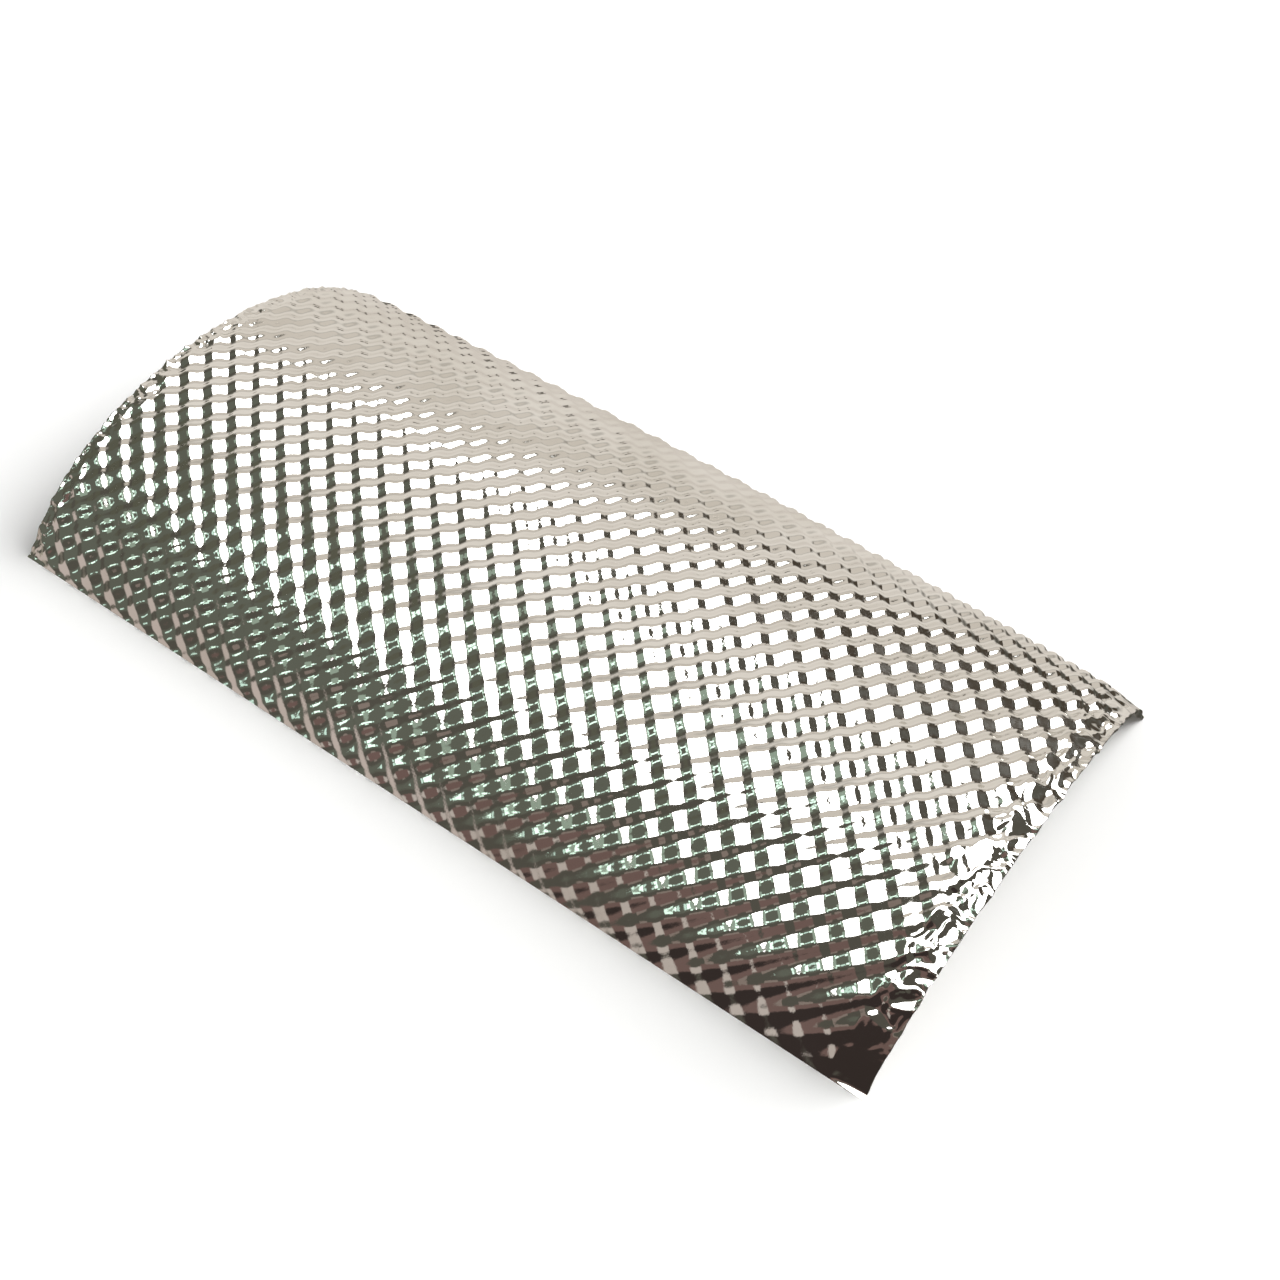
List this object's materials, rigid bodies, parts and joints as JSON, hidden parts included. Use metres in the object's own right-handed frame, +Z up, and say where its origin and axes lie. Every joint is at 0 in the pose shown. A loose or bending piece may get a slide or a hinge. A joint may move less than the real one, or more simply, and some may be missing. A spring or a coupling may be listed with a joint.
{
  "type": "exhaust heat shield",
  "caption": "Thin arched sheet of bright diamond-embossed metal that straps over an exhaust pipe and keeps its heat from what is near.",
  "frame": {"origin": "middle of the footprint, on the surface that the two long edges rest on", "axes": "+X along the pipe towards the end that is bent tighter, +Y across the pipe, +Z up through the crest of the arch"},
  "size_m": [0.3084, 0.16, 0.04],
  "materials": {
    "foil": "bright, mirror-like, embossed"
  },
  "bodies": {
    "root": {"shield": "foil"}
  },
  "joints": []
}
